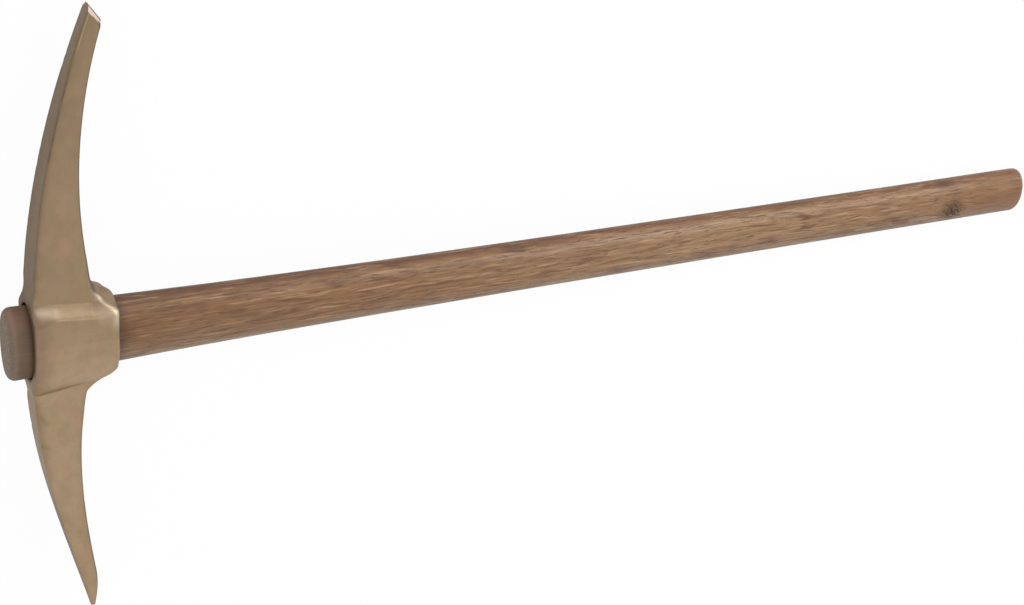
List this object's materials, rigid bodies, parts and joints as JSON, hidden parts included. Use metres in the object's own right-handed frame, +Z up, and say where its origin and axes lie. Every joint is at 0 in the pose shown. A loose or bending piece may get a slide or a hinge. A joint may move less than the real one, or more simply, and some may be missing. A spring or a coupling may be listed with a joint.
{
  "type": "pick axe",
  "caption": "Digging tool: a cast bronze head with a chisel arm and a point arm, slipped over a flared wooden handle that jams in its eye.",
  "frame": {"origin": "on the lower cheek's flat face, under the centre of the head's eye", "axes": "+X along the handle towards the grip, +Y towards the chisel arm, +Z up from the floor that the lower cheek lies on"},
  "size_m": [0.9001, 0.4585, 0.0494],
  "materials": {
    "bronze": "cast and ground, satin, slightly tarnished",
    "wood": "sanded and thinly oiled, with open grain"
  },
  "bodies": {
    "head": {"head": "bronze"},
    "handle": {"handle": "wood"}
  },
  "joints": [
    {"name": "handle_slide", "type": "slide", "parent": "head", "child": "handle", "axis": [-1, 0, 0], "range_m": [0, 0.9]}
  ]
}
